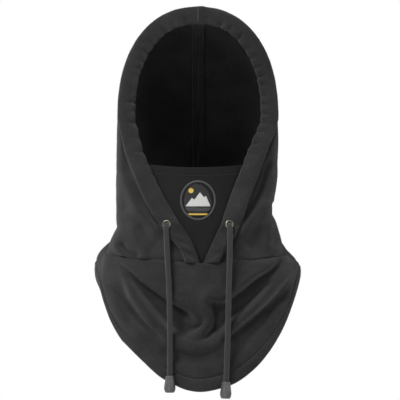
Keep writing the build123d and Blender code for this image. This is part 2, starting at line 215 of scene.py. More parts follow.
# Camera, in metres, and lamps: place, aim, size in metres and power in watts
CAMERA = (0.002, -1.685, -0.1897)
SENSOR = 36.0
LENS = 144.0
MIDDLE = (0.0, 0.0, -0.22)
LAMPS = {
    "key": ((-0.75, -0.9, 1.0), (0.0, 0.0, -0.28), 0.7, 27.0),
    "fill": ((1.2, -1.2, 0.35), MIDDLE, 0.6, 5.0),
    "low": ((-0.4, -1.5, -0.6), (0.0, 0.0, -0.36), 0.7, 6.0),
    "rim_left": ((-1.3, 0.5, 0.0), MIDDLE, 0.6, 3.5),
    "rim_right": ((1.3, 0.5, 0.0), MIDDLE, 0.6, 5.0),
}
ROOM_LIGHT = 0.2
FLOOR_HALF = 1600.0
FLOOR_Z = -620.0


# ---- lines and grids

def distances(line):
    """How far along a line each of its points is."""
    return np.concatenate([[0], np.cumsum(np.linalg.norm(np.diff(line, axis=0), axis=1))])


def between(at, along, rows):
    """Rows at the places asked for, from those at known places."""
    return np.stack([np.interp(at, along, column) for column in rows.T], -1)


def resample(line, count):
    """The line at evenly spaced points along its length."""
    line = np.asarray(line, float)
    along = distances(line)
    return between(np.linspace(0, along[-1], count), along, line)


def smooth_line(points, count):
    """Evenly spaced points on a smooth curve through the given ones."""
    given = np.asarray(points, float)
    given = np.vstack([2 * given[0] - given[1], given, 2 * given[-1] - given[-2]])
    pieces = []
    t = np.linspace(0, 1, 16, endpoint=False)[:, None]
    for a, b, c, d in zip(given, given[1:], given[2:], given[3:]):
        cubic = 2 * b + (c - a) * t + (2 * a - 5 * b + 4 * c - d) * t**2 + (3 * b - a - 3 * c + d) * t**3
        pieces.append(cubic / 2)
    return resample(np.vstack(pieces + [given[-2:-1]]), count)


def smooth_value(table, at):
    """A value that runs smoothly through a table of (place, value) pairs."""
    line = smooth_line(sorted(table), 200)
    return np.interp(at, line[:, 0], line[:, 1])


def smoothstep(low, high, value):
    """0 up to low, 1 from high on, and a smooth rise between."""
    t = np.clip((value - low) / (high - low), 0, 1)
    return t * t * (3 - 2 * t)


def hump(value, middle, width):
    """1 at the middle, and nothing a few widths away."""
    return np.exp(-(((value - middle) / width) ** 2))


def unit(vectors):
    return vectors / np.maximum(np.linalg.norm(vectors, axis=-1, keepdims=True), 1e-9)


def nearest_on(line, x, z):
    """For each place: distance to the line, which side of it, and how far along it is, from 0 to 1."""
    shape = np.shape(x)
    place = np.stack([np.ravel(x), np.ravel(z)], 1)
    best = np.full(len(place), np.inf)
    side = np.zeros(len(place))
    along = np.zeros(len(place))
    steps = len(line) - 1
    for i in range(steps):
        run = line[i + 1] - line[i]
        offset = place - line[i]
        t = np.clip(offset @ run / max(run @ run, 1e-12), 0, 1)
        gap = offset - t[:, None] * run
        distance = np.linalg.norm(gap, axis=1)
        closer = distance < best
        best = np.where(closer, distance, best)
        side = np.where(closer, run[0] * offset[:, 1] - run[1] * offset[:, 0], side)
        along = np.where(closer, (i + t) / steps, along)
    return best.reshape(shape), np.sign(side).reshape(shape), along.reshape(shape)


def fold(x, z, points, height, left, right, fade=0.2):
    """A ridge, or a valley if its height is negative, along a line seen from the front.

    left and right are its widths on either side of somebody walking the line, which is above and below
    for a line from left to right. It fades over this share of its length at both ends.
    """
    distance, side, along = nearest_on(smooth_line(points, 40), x, z)
    width = np.where(side > 0, left, right)
    ends = smoothstep(0, fade, along) * smoothstep(0, fade, 1 - along)
    return height * ends * hump(distance, 0, width)


def ripple(points, pitch, seed):
    """Soft uneven waves, from -1 to 1, in space."""
    random = np.random.default_rng(seed)
    total = np.zeros(points.shape[:-1])
    for _ in range(7):
        direction = unit(random.normal(size=3))
        wavelength = pitch * (0.7 + 0.9 * random.random())
        total += np.sin(points @ direction * 2 * math.pi / wavelength + random.random() * 2 * math.pi)
    return total / 4


def waves(points, kinds):
    """Several ripples added up."""
    return sum(height * ripple(points, pitch, seed) for height, pitch, seed in kinds)


def grid_normals(points):
    across = np.gradient(points, axis=1)
    down = np.gradient(points, axis=0)
    return unit(np.cross(down, across))


def grid_faces(rows, columns, closed=False):
    """Faces between a grid's points. A closed grid's last column joins its first."""
    index = np.arange(rows * columns).reshape(rows, columns)
    if closed:
        index = np.concatenate([index, index[:, :1]], 1)
    a, b, c, d = index[:-1, :-1], index[:-1, 1:], index[1:, 1:], index[1:, :-1]
    return np.stack([a, b, c, d], -1).reshape(-1, 4).tolist()


def tube_faces(rows, columns):
    """Faces of a tube of rings, with a cap at each end."""
    caps = [tuple(range(columns))[::-1], tuple(range((rows - 1) * columns, rows * columns))]
    return grid_faces(rows, columns, True) + caps


def full_turn(count):
    return np.linspace(0, 2 * np.pi, count, endpoint=False)


def new_mesh(name, points, faces, material, smooth=True):
    """A mesh object from points in millimetres."""
    mesh = bpy.data.meshes.new(name)
    mesh.from_pydata((np.asarray(points).reshape(-1, 3) * MM).tolist(), [], faces)
    mesh.validate()
    mesh.polygons.foreach_set("use_smooth", [smooth] * len(mesh.polygons))
    mesh.update()
    made = bpy.data.objects.new(name, mesh)
    bpy.context.scene.collection.objects.link(made)
    made.data.materials.append(material)
    return made


def cloth_sheet(name, points, material, thickness=CLOTH):
    """A sheet with real thickness from a grid of points on its outside."""
    made = new_mesh(name, points, grid_faces(*points.shape[:2]), material)
    shell = made.modifiers.new("thickness", "SOLIDIFY")
    shell.thickness = thickness * MM
    shell.offset = -1
    shell.use_even_offset = False
    return made

def dress(made, *nodes, body="hood", slot="fleece"):
    """Put a piece on its body, in place of the CAD nodes that it stands for. Its slot is not used."""
    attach(made, body)
    if nodes:
        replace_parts(made, *nodes)
    return made


# ---- the hood's form

def arch_then_side(s, arch_z, power, half_width, top_z, line):
    """A flattened arch from the middle of its top, at 0, to arch_z, at 0.5, then a line down to 1."""
    angle = np.radians(90 * (1 - np.clip(2 * s, 0, 1)))
    line = smooth_line(line, 300)
    z_side = arch_z + (line[-1][1] - arch_z) * np.clip(2 * s - 1, 0, 1)
    x_side = np.interp(-z_side, -line[:, 1], line[:, 0])
    x = np.where(s < 0.5, half_width * np.clip(np.cos(angle), 0, 1) ** (2 / power), x_side)
    z = np.where(s < 0.5, arch_z + (top_z - arch_z) * np.clip(np.sin(angle), 0, 1) ** (2 / power), z_side)
    return np.stack([x, z], -1)


def outline_point(s, side):
    """Half of the hood's outline seen from the front, x outwards, from the crown to the neck seam."""
    return arch_then_side(s, ARCH_Z, ARCH_POWER, HALF_WIDTHS[side], CROWN_Z, SIDE_LINES[side])


def opening_point(s, side):
    """Half of the face opening's edge, in step with the outline."""
    return arch_then_side(s, FACE_ARCH_Z, FACE_POWER, FACE_HALF_WIDTH, FACE_TOP, FACE_EDGES[side])


def front_y(x, z, inset=0.0):
    """The front cylinder's depth at a place seen from the front."""
    reach = np.sqrt(np.maximum((FRONT_R - inset) ** 2 - np.square(x), 1.0))
    return FRONT_AXIS_Y + (z * math.sin(LEAN) - reach) / math.cos(LEAN)


OUTLINES = {side: resample(outline_point(np.linspace(0, 1, 400), side), 200) for side in (-1, 1)}


def at_share(line, share):
    """Points of a line at these shares of its length."""
    return between(share, np.linspace(0, 1, len(line)), line)


def hood_y(x, z, side):
    """The hood's front with its rounded corner, and the depth where its side begins."""
    outline = OUTLINES[side]
    inside, _, along = nearest_on(outline, x, z)
    here = at_share(outline, along)
    ahead = at_share(outline, np.clip(along + 0.01, 0, 1))
    behind = at_share(outline, np.clip(along - 0.01, 0, 1))
    run = unit(ahead - behind)
    out_x, out_z = -run[..., 1], run[..., 0]
    slope = (front_y(here[..., 0] + out_x, here[..., 1] + out_z)
             - front_y(here[..., 0] - out_x, here[..., 1] - out_z)) / 2
    steep = np.sqrt(1 + slope**2)
    edge = front_y(x, z) + slope * inside
    centre = edge + CORNER_R * (steep - slope)
    in_corner = CORNER_R - np.clip(inside, 0, CORNER_R)
    rounded = centre - np.sqrt(np.maximum(CORNER_R**2 - in_corner**2, 0))
    flat_from = CORNER_R * (1 - slope / steep)
    return np.where(inside < flat_from, rounded, front_y(x, z)), centre


def hood_paths(s, side):
    """For each s, the way over the hood from the face opening to the centre of the back, and its length.

    x runs outwards, on whichever side.
    """
    opening, outline = opening_point(s, side), outline_point(s, side)
    skew = smoothstep(0.55, 1.0, s)
    _, side_y = hood_y(outline[:, 0], outline[:, 1], side)
    corner = outline.copy()
    corner[:, 1] += SEAM_SLOPE * side_y * skew
    ease = 1 - (1 - np.linspace(0, 1, 70)) ** 2.0
    seen = opening[:, None] + (corner - opening)[:, None] * ease[None, :, None]
    raised = (SEAM_SLOPE * side_y * skew)[:, None] * ease[None, :]
    depth, _ = hood_y(seen[..., 0], seen[..., 1] - raised, side)
    depth += (side_y - depth[:, -1])[:, None] * smoothstep(0.6, 1, ease)[None]
    front = np.stack([seen[..., 0], depth, seen[..., 1]], -1)
    turn = np.radians(np.linspace(0, 90, 51)[1:])
    flank_y = side_y[:, None] + (BACK_Y - side_y)[:, None] * np.linspace(0, 1, 31)[1:]
    y = np.concatenate([flank_y, BACK_Y + outline[:, :1] * np.sin(turn)], 1)
    x = np.concatenate([outline[:, :1] * np.ones(30), outline[:, :1] * np.cos(turn)], 1)
    behind = np.stack([x, y, outline[:, 1:] + SEAM_SLOPE * y * skew[:, None]], -1)
    paths = np.concatenate([front, behind], 1)
    steps = np.linalg.norm(np.diff(paths, axis=1), axis=2)
    lengths = np.concatenate([np.zeros((len(s), 1)), np.cumsum(steps, 1)], 1)
    return paths, lengths


def along_paths(paths, lengths, wanted):
    """Points at the wanted lengths along each path."""
    return np.stack([between(w, length, path) for path, length, w in zip(paths, lengths, wanted)])


def band_width(s, side):
    """The casing's width along each path, so that it is CASING wide across the opening's edge."""
    opening = opening_point(s, side)
    ahead, behind = (opening_point(np.clip(s + step, 0, 1), side) for step in (0.004, -0.004))
    run = unit(ahead - behind)
    way = unit(outline_point(s, side) - opening)
    wide = CASING + (CASING_END - CASING) * smoothstep(-212, SEAM_FRONT_Z, opening[:, 1])
    return wide / np.clip(np.abs(run[:, 0] * way[:, 1] - run[:, 1] * way[:, 0]), 0.75, 1)


# ---- materials

def nodes_of(name):
    material = bpy.data.materials.new(name)
    material.use_nodes = True
    tree = material.node_tree
    return material, tree, tree.nodes["Principled BSDF"]


def add(tree, kind, **inputs):
    """A node with its settings and input values."""
    node = tree.nodes.new(kind)
    for key, value in inputs.items():
        if hasattr(node, key):
            setattr(node, key, value)
        else:
            node.inputs[key.replace("_", " ")].default_value = value
    return node


def texture(tree, kind, **settings):
    """A texture that lies still on its object."""
    where = add(tree, "ShaderNodeTexCoord")
    made = add(tree, kind, **settings)
    tree.links.new(where.outputs["Object"], made.inputs["Vector"])
    return made.outputs["Fac"]


def noise(tree, scale, detail=2.0, roughness=0.5, distortion=0.0):
    """Cloudy noise, with its scale per metre."""
    return texture(tree, "ShaderNodeTexNoise", Scale=scale, Detail=detail, Roughness=roughness,
                   Distortion=distortion)


def ramp(tree, source, *stops):
    """A colour that follows a value through (value, colour) stops. A colour that is one number is a grey."""
    made = add(tree, "ShaderNodeValToRGB")
    elements = made.color_ramp.elements
    while len(elements) < len(stops):
        elements.new(0.5)
    for element, (position, colour) in zip(elements, stops):
        element.position = position
        element.color = (*np.broadcast_to(colour, 3), 1)
    tree.links.new(source, made.inputs["Fac"])
    return made.outputs["Color"]


def maths(tree, operation, a, b):
    """A value worked out from two others, each a number or an output."""
    made = add(tree, "ShaderNodeMath", operation=operation)
    for socket, value in zip(made.inputs, (a, b)):
        if isinstance(value, (int, float)):
            socket.default_value = value
        else:
            tree.links.new(value, socket)
    return made.outputs["Value"]


def weighted(tree, a, a_share, b, b_share):
    """Two outputs added up by their shares."""
    return maths(tree, "ADD", maths(tree, "MULTIPLY", a, a_share), maths(tree, "MULTIPLY", b, b_share))


def cover(tree, shader, colour, rough, height, distance, strength):
    """Give a shader its colour, roughness and bump."""
    tree.links.new(colour, shader.inputs["Base Color"])
    tree.links.new(rough, shader.inputs["Roughness"])
    made = add(tree, "ShaderNodeBump", Strength=strength, Distance=distance)
    tree.links.new(height, made.inputs["Height"])
    tree.links.new(made.outputs["Normal"], shader.inputs["Normal"])


def set_values(shader, **values):
    """Set a shader's own inputs, with _ for a space."""
    for key, value in values.items():
        shader.inputs[key.replace("_", " ")].default_value = value


def fleece_material(name, dark, light, sheen):
    """Brushed microfleece: a short clumped nap, mottled, with a pale bloom where it is seen edge on."""
    material, tree, shader = nodes_of(name)
    nap = noise(tree, 2600, 3, 0.65)
    clumps = noise(tree, 650, 3, 0.6)
    drift = noise(tree, 38, 2, 0.5)
    mottle = weighted(tree, clumps, 0.55, drift, 0.45)
    colour = ramp(tree, mottle, (0.34, dark), (0.52, (dark + light) / 2), (0.68, light))
    rough = ramp(tree, clumps, (0.3, 0.82), (0.7, 0.97))
    cover(tree, shader, colour, rough, weighted(tree, nap, 0.6, clumps, 1.0), 0.0007, 0.7)
    set_values(shader, Specular_IOR_Level=0.12, Sheen_Weight=sheen, Sheen_Roughness=0.55,
               Sheen_Tint=(0.97, 0.98, 1.0, 1))
    return material


def knit_material(name, dark, light, scale, sheen, bands="X"):
    """A smooth fine knit with faint ribs."""
    material, tree, shader = nodes_of(name)
    ribs = texture(tree, "ShaderNodeTexWave", Scale=scale, Distortion=1.2, Detail=2.0, bands_direction=bands)
    fine = noise(tree, 900, 3, 0.6)
    mix = weighted(tree, ribs, 0.35, fine, 0.65)
    colour = ramp(tree, mix, (0.3, dark), (0.75, light))
    rough = ramp(tree, fine, (0.3, 0.7), (0.7, 0.9))
    cover(tree, shader, colour, rough, mix, 0.0003, 0.6)
    set_values(shader, Specular_IOR_Level=0.2, Sheen_Weight=sheen)
    return material


def plastic_material(name, base, roughness):
    """Moulded plastic with a faint uneven skin and scuffs."""
    material, tree, shader = nodes_of(name)
    skin = noise(tree, 700, 3, 0.5)
    scuffs = noise(tree, 160, 5, 0.7, 1.5)
    colour = ramp(tree, scuffs, (0.35, base * 0.85), (0.65, base * 1.15))
    rough = ramp(tree, scuffs, (0.3, roughness), (0.72, roughness + 0.16))
    cover(tree, shader, colour, rough, skin, 0.0001, 0.25)
    return material


def metal_material(name, colour):
    """Plated steel with fine scratches and dulled patches."""
    material, tree, shader = nodes_of(name)
    wear = noise(tree, 500, 5, 0.7, 0.8)
    tint = ramp(tree, wear, (0.36, tuple(c * 0.55 for c in colour)), (0.6, colour))
    rough = ramp(tree, wear, (0.3, 0.5), (0.7, 0.34))
    cover(tree, shader, tint, rough, wear, 0.00005, 0.4)
    set_values(shader, Metallic=1.0)
    return material


def thread_material(name, base, light):
    """Glossy embroidery thread."""
    material, tree, shader = nodes_of(name)
    twist = texture(tree, "ShaderNodeTexWave", Scale=700.0, Distortion=1.5, Detail=1.0,
                    bands_direction="DIAGONAL")
    colour = ramp(tree, twist, (0.15, base), (0.8, light))
    rough = ramp(tree, twist, (0.0, 0.6), (1.0, 0.4))
    cover(tree, shader, colour, rough, twist, 0.0002, 0.8)
    return material


FLEECE = fleece_material("fleece", 0.012, 0.03, 0.13)
LINING = fleece_material("casing_fleece", 0.011, 0.028, 0.14)
MASK_CLOTH = knit_material("mask_knit", 0.004, 0.009, 260.0, 0.04)
CORD_KNIT = knit_material("cord_knit", 0.014, 0.034, 500.0, 0.35, "DIAGONAL")
# The loose fibres are coloured paler than the fleece they grow from. This is painted sheen: it stands in for
# the light that the fuzz catches edge on.
NAP_FIBRE_PAINTED_SHEEN = fleece_material("nap_fibre_painted_sheen", 0.03, 0.12, 0.3)
THREAD = thread_material("sewing_thread", 0.012, 0.03)
SEAM_THREAD = thread_material("seam_thread", 0.06, 0.12)
CORD_END = plastic_material("cord_end", 0.075, 0.3)
METAL = metal_material("eyelet_plating", (0.5, 0.46, 0.36))
PATCH_FIELD = thread_material("patch_field", 0.008, 0.02)
PATCH_RIM = thread_material("patch_rim", 0.035, 0.075)
PATCH_WHITE = thread_material("patch_white", (0.5, 0.5, 0.48), (0.8, 0.8, 0.78))
PATCH_GOLD = thread_material("patch_gold", (0.55, 0.36, 0.05), (0.85, 0.62, 0.12))


# ---- camera, light and floor

def put(name, data, place, rotation):
    """A camera or lamp in its place."""
    made = bpy.data.objects.new(name, data)
    made.location = place
    made.rotation_euler = rotation
    bpy.context.scene.collection.objects.link(made)
    return made


def look_from_the_front():
    """A level camera, square on to the face opening."""
    data = bpy.data.cameras.new("camera")
    data.sensor_width = SENSOR
    data.lens = LENS
    data.clip_end = 50.0
    bpy.context.scene.camera = put("camera", data, CAMERA, (math.radians(90), 0, 0))


def area_light(name, place, target, size, power):
    """A round soft lamp that faces its target."""
    data = bpy.data.lights.new(name, "AREA")
    data.shape = "DISK"
    data.size = size
    data.energy = power
    x, y, z = np.array(target) - np.array(place)
    put(name, data, place, (math.atan2(math.hypot(x, y), -z), 0, math.atan2(-x, y)))


def white_surround():
    """A white room: pure white to look at, and dimmer as a light."""
    world = bpy.data.worlds.new("studio")
    world.use_nodes = True
    tree = world.node_tree
    room = tree.nodes["Background"]
    set_values(room, Color=(1, 1, 1, 1), Strength=ROOM_LIGHT)
    seen = add(tree, "ShaderNodeBackground", Color=(1, 1, 1, 1), Strength=1.0)
    mix = add(tree, "ShaderNodeMixShader")
    path = add(tree, "ShaderNodeLightPath")
    tree.links.new(path.outputs["Is Camera Ray"], mix.inputs["Fac"])
    tree.links.new(room.outputs["Background"], mix.inputs[1])
    tree.links.new(seen.outputs["Background"], mix.inputs[2])
    tree.links.new(mix.outputs["Shader"], tree.nodes["World Output"].inputs["Surface"])
    bpy.context.scene.world = world


def stage_and_light():
    """The lamps, the white room and a pale floor."""
    white_surround()
    bpy.context.scene.view_settings.view_transform = "Standard"
    for name, settings in LAMPS.items():
        area_light(name, *settings)
    material, tree, shader = nodes_of("pale_floor")
    tone = ramp(tree, noise(tree, 3.0, 2), (0.3, 0.86), (0.7, 0.9))
    tree.links.new(tone, shader.inputs["Base Color"])
    set_values(shader, Roughness=0.9)
    corners = [(x * FLOOR_HALF, y * FLOOR_HALF, FLOOR_Z) for x, y in ((-1, -1), (1, -1), (1, 1), (-1, 1))]
    new_mesh("floor", corners, [(0, 1, 2, 3)], material, False)


# ---- cords

def nurbs_line(name, points):
    """Points along a smooth NURBS curve with these control points, in metres."""
    data = bpy.data.curves.new(name, "CURVE")
    data.dimensions = "3D"
    spline = data.splines.new("NURBS")
    spline.points.add(len(points) - 1)
    for point, place in zip(spline.points, points):
        point.co = (*place, 1)
    spline.order_u = 3
    spline.use_endpoint_u = True
    spline.resolution_u = 24
    curve = bpy.data.objects.new(name, data)
    bpy.context.scene.collection.objects.link(curve)
    bpy.context.view_layer.update()
    mesh = bpy.data.meshes.new_from_object(curve.evaluated_get(bpy.context.evaluated_depsgraph_get()))
    line = np.array([v.co for v in mesh.vertices], float)
    bpy.data.objects.remove(curve)
    bpy.data.meshes.remove(mesh)
    return line


def tube_grid(line, section, up):
    """Rings of a section, given as (across, out) offsets, along a line."""
    run = unit(np.gradient(line, axis=0))
    across = unit(np.cross(run, up))
    out = unit(np.cross(across, run))
    return line[:, None] + across[:, None] * section[..., :1] + out[:, None] * section[..., 1:]


def knit_cord(name, line, up, slim_start=1.0):
    """A soft tubular cord, a little flattened, braided from crossing strands."""
    total = distances(line)[-1]
    count = int(total / BRAID_STEP)
    line = resample(line, count)
    along = np.linspace(0, total, count)[:, None]
    turn = full_turn(CORD_SIDES)[None]
    one_way = np.abs(np.cos(BRAID_TURN * along + BRAID_PAIRS * turn))
    other_way = np.abs(np.cos(BRAID_TURN * along - BRAID_PAIRS * turn))
    braid = BRAID_HEIGHT * (np.maximum(one_way, other_way) - 0.9)
    slim = slim_start + (1 - slim_start) * smoothstep(0, SLIM_LENGTH, along)
    wander = 1 + 0.02 * np.sin(along / 9.0) + 0.012 * np.sin(along / 3.7 + 1)
    across = (CORD_DRAWN[0] / 2 * slim * wander + braid) * np.cos(turn)
    dip = 1 - 0.1 * hump(np.cos(turn), 0, 0.45)
    out = (CORD_DRAWN[1] / 2 * slim * dip + braid) * np.sin(turn)
    grid = tube_grid(line, np.stack([across, out], -1), np.array(up))
    return new_mesh(name, grid, tube_faces(*grid.shape[:2]), CORD_KNIT)


def turned(name, top, axis, profile, material):
    """A round piece from its (radius, depth) profile, closed, along an axis from its top."""
    axis = unit(np.asarray(axis, float))
    across = unit(np.cross(axis, (1.0, 0.0, 0.0)))
    other = np.cross(axis, across)
    profile = smooth_line(list(profile) + [profile[0]], 90)[:-1]
    turn = full_turn(TURNED_SIDES)
    around = across * np.cos(turn)[:, None] + other * np.sin(turn)[:, None]
    grid = np.asarray(top) + profile[:, None, :1] * around[None] + profile[:, None, 1:] * axis
    grid = np.concatenate([grid, grid[:1]])
    return new_mesh(name, grid, grid_faces(len(grid), len(turn), True), material)


def bell(side, top, axis):
    """The moulded cord end."""
    made = turned(f"cord_bell_{side}", top, axis, BELL, CORD_END)
    return dress(made, f"cord_end_{side}", body=f"{side}_cord_end", slot="cord_end_plastic")


def eyelet(side):
    """A rolled ring that grips the cloth round the cord's hole."""
    cad_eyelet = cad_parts[f"eyelet_{side}"]
    points = np.array([v.co for v in cad_eyelet.data.vertices])
    to_world = np.array(cad_eyelet.matrix_world)
    points = (points @ to_world[:3, :3].T + to_world[:3, 3]) / MM
    centre = (points.min(0) + points.max(0)) / 2
    _, _, ways = np.linalg.svd(points - points.mean(0), full_matrices=False)
    axis = ways[2] * np.sign(ways[2, 1])
    made = turned(f"eyelet_ring_{side}", centre - axis * EYELET_SINK, axis, EYELET_RING, METAL)
    dress(made, f"eyelet_{side}", slot="eyelet_metal")


def hanging_cord(side, route):
    """The cord from its eyelet down to its end: a bend at the pivot, and the hanging part."""
    line = nurbs_line(f"cord_line_{side}", route)
    pivot, down = np.array(route[0]), unit(np.array(route[1]) - route[0])
    outward = unit(np.array([route[0][0] * 3.5, -0.45, -0.05]))
    past = np.linalg.norm(line - pivot, axis=1) > CORD_START
    tip = line[-1] + unit(line[-1] - line[-2]) * CORD_TIP
    body = np.vstack([[pivot + down * CORD_START], line[past], [tip]]) / MM
    cord = knit_cord(f"cord_{side}", body, (0.0, -1.0, 0.0))
    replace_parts(cord, f"cord_tail_{side}")
    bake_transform(cord)
    bend_route = [pivot - outward * BEND_REACH, pivot, pivot + down * BEND_REACH]
    bend_line = nurbs_line(f"bend_line_{side}", bend_route) / MM
    bend = knit_cord(f"cord_bend_{side}", bend_line, (0.0, -0.5, 0.866), BEND_SLIM)
    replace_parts(bend, f"cord_lead_{side}")
    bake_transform(bend)
    cord_end = bell(side, np.array(route[-1]) / MM, np.array(route[-1]) - route[-2])


look_from_the_front()
for cord_side, cord_route in CORD_ROUTE.items():
    hanging_cord(cord_side, cord_route)


# ---- hood

def terrain(x, z, lines, softness=2.0):
    """Heights that pass through those of some lines seen from the front.

    Each line is its points and the heights along it. Between lines, the nearer ones count for more.
    """
    total = np.zeros(np.shape(x))
    weights = np.zeros(np.shape(x))
    for points, heights in lines:
        distance, _, along = nearest_on(smooth_line(points, 40), x, z)
        weight = 1 / (distance**2 + softness**2) ** 1.5
        total += weight * np.interp(along, np.linspace(0, 1, len(heights)), heights)
        weights += weight
    return total / weights


def soften(values, rounds):
    """Values on a grid, averaged with their neighbours."""
    for _ in range(rounds):
        padded = np.pad(values, 1, mode="edge")
        ring = padded[:-2, 1:-1] + padded[2:, 1:-1] + padded[1:-1, :-2] + padded[1:-1, 2:]
        values = values * 0.5 + ring * 0.125
    return values


HOOD_FOLDS = {
    -1: (
        ([(-79, -158), (-72, -173), (-63, -192), (-48, -212), (-33, -229)], 3.2, 4.5, 8),
        ([(-76, -146), (-67, -170), (-56, -190), (-42, -209), (-34, -219)], -2.2, 3.5, 3.5),
        ([(-86, -229), (-79, -241), (-67, -249), (-44, -252)], 2.6, 4, 4),
        ([(-80, -232), (-70, -242), (-56, -247)], -2.2, 3, 3),
        ([(-74, -196), (-66, -216), (-55, -236), (-44, -244)], 2.4, 11, 11),
        ([(-60, -214), (-52, -230), (-40, -240)], -1.6, 6, 6),
    ),
    1: (
        ([(76, -150), (71, -178), (62, -197), (50, -212), (39, -228)], 2.8, 8, 4.5),
        ([(74, -142), (65, -174), (55, -193), (43, -213)], -2.4, 4, 4),
        ([(70, -186), (72, -204), (70, -223), (71, -238), (76, -245)], 3.2, 5, 7),
        ([(77, -190), (78, -203), (77, -214)], -3.0, 5, 5),
        ([(84, -233), (76, -244), (66, -249), (44, -252)], 2.0, 4, 4),
        ([(64, -214), (58, -230), (48, -240)], -1.6, 8, 8),
    ),
}


def hood_relief(points, side):
    """How far the cloth stands out from the hood's form."""
    x, y, z = points[..., 0], points[..., 1], points[..., 2]
    front = smoothstep(-5, -40, y)
    total = np.zeros(x.shape)
    for line, height, left, right in HOOD_FOLDS[side]:
        total += FOLD_STRENGTH * fold(x, z, line, height, left, right) * front
    for height, pitch, seed, begins, full in HOOD_WAVES:
        total += height * ripple(points, pitch, seed + side) * smoothstep(begins, full, y)
    total += 0.3 * ripple(points, 21, 21 + side)
    crown_seam = 0.7 * hump(np.abs(x), 4.0, 2.5) - 1.4 * hump(x, 0, 1.7)
    total += crown_seam * smoothstep(-75, -50, y)
    above_seam = z - (SEAM_FRONT_Z + SEAM_SLOPE * (y + 100))
    pulled = 1 - 0.55 * front * smoothstep(34, 60, np.abs(x))
    return total + 1.0 * hump(above_seam, 7, 5.0) - 1.8 * pulled * hump(above_seam, 0, 2.2)


def hood_half(side, name):
    """One side of the hood, from under the casing to the seam down the back."""
    s = np.linspace(0, 1, HOOD_GRID)
    paths, lengths = hood_paths(s, side)
    start = (band_width(s, side) - CASING_TUCK)[:, None]
    wanted = start + (lengths[:, -1:] - start) * np.linspace(0, 1, HOOD_GRID)
    points = along_paths(paths, lengths, wanted)
    points[..., 0] *= side
    normals = grid_normals(points) * side
    normals[0] = unit(normals[1] * (0, 1, 1))
    relief = hood_relief(points, side)
    from_casing = wanted - start
    relief *= 1 - 0.6 * np.exp(-from_casing / 4)
    relief -= 1.8 * hump(from_casing, 5.5, 2.4) * smoothstep(-60, -120, points[..., 2])
    points = points + normals * (0.45, 1, 1) * relief[..., None]
    points[0, :, 0] = -PANEL_GAP * side
    points[:, -1, 0] = -PANEL_GAP * side
    if side > 0:
        points = points[:, ::-1]
    raise_nap(f"hood_{name}", points, HOOD_NAP, side)
    made = cloth_sheet(f"hood_{name}", points, FLEECE)
    dress(made, f"hood_panel_{name}")


# ---- cord casing

def gathers(along, seed, length):
    """How far the casing's inner edge is drawn in, from 0 on its round lobes to 1 at its sharp pleats."""
    random = np.random.default_rng(seed)
    places = np.cumsum(random.uniform(*PLEAT_PITCH, int(length / PLEAT_PITCH[0])))
    places = np.concatenate([[-6.0], places])
    depths = random.uniform(*PLEAT_DEPTH, len(places))
    share = np.interp(along, places, np.arange(len(places)))
    lobe = np.abs(np.sin(share * np.pi)) ** 0.85
    return np.interp(share, np.arange(len(places)), depths) * (1 - lobe)


def casing_frame(side, rows):
    """The casing's centreline, with its half width, directions across and outward, and length so far."""
    s = np.linspace(0, 1, rows)
    paths, lengths = hood_paths(s, side)
    width = band_width(s, side)[:, None]
    inner, middle, outer = (along_paths(paths, lengths, width * share)[:, 0] for share in (0.0, 0.5, 1.0))
    across = unit(outer - inner)
    out = unit(np.cross(unit(np.gradient(middle, axis=0)), across))
    return middle, np.linalg.norm(outer - inner, axis=1) / 2, across, out, distances(middle)


def casing_surface(side, u, rows):
    """Points on the casing's outside, u across it from -1 at the opening to 1 at its seam."""
    middle, half, across, out, along = casing_frame(side, rows)
    to_end = along[-1] - along[:, None]
    down_cheek = smoothstep(*CHEEK_FADE, along)[:, None]
    pleats = gathers(along, PLEAT_SEEDS[side], along[-1])[:, None] * (1 - 0.92 * down_cheek)
    from_eyelet = np.hypot(middle[:, 0] - EYELET[0], middle[:, 2] - EYELET[1])
    eyelet_near = hump(from_eyelet, 0, EYELET_FLAT_R)[:, None]
    u = u[None]
    rounded = np.sqrt(np.maximum(1 - u**2, 0)) ** 0.75
    tall = CASING_TALL * rounded * (1 + 0.6 * u)
    tall = tall - 1.3 * pleats * smoothstep(-0.2, -0.9, u)
    tall = tall + waves(middle, CASING_WAVES)[:, None] * rounded
    nub = hump(middle[:, 0] * side, 3.6, 2.4)[:, None] * smoothstep(0.0, 0.8, u)
    tall = tall + 1.3 * nub * rounded
    tall = tall * (1 - eyelet_near) + 2.2 * rounded * eyelet_near
    lower = smoothstep(*END_CREASES, to_end)
    creases = np.sin(along[:, None] / 2.3 + u * 1.6 + side) * hump(u, 0.2, 0.7)
    tall = tall * (1 - 0.25 * lower) + CREASE_HEIGHTS[side] * creases * lower * rounded
    tall = tall - 2.1 * (1 - u) * (1 - eyelet_near) + 0.4
    waver = 0.07 * ripple(middle, 26, 52)[:, None] * (1 - down_cheek)
    reach = half[:, None] * (u + (0.34 * pleats + waver) * smoothstep(0.1, -1, u))
    return middle[:, None] + across[:, None] * reach[..., None] + out[:, None] * tall[..., None], out


def casing_half(side, name):
    """One side of the gathered band that the cord runs in, closed all round."""
    rows, columns = CASING_GRID
    u = -np.cos(np.linspace(0, np.pi, columns))
    top, out = casing_surface(side, u, rows)
    behind = u[::-1][1:-1]
    depth = CASING_DEEP * np.sqrt(np.maximum(1 - behind**2, 0)) ** 0.8 * (1 - 0.3 * behind)
    flat = top[:, :1] + (top[:, -1:] - top[:, :1]) * ((behind[None, :, None] + 1) / 2)
    under = flat * (1 - CASING_FOLLOW) + top[:, -2:0:-1] * CASING_FOLLOW
    grid = np.concatenate([top, under - out[:, None] * depth[None, :, None]], 1)
    grid[0, :, 0] = -0.2
    grid[..., 0] *= side
    if side > 0:
        grid = grid[:, ::-1]
    raise_nap(f"casing_{name}", top * (side, 1, 1), CASING_NAP, side, side)
    made = new_mesh(f"casing_{name}", grid, tube_faces(*grid.shape[:2]), LINING)
    dress(made, f"cord_casing_{name}")


# ---- stitches and nap

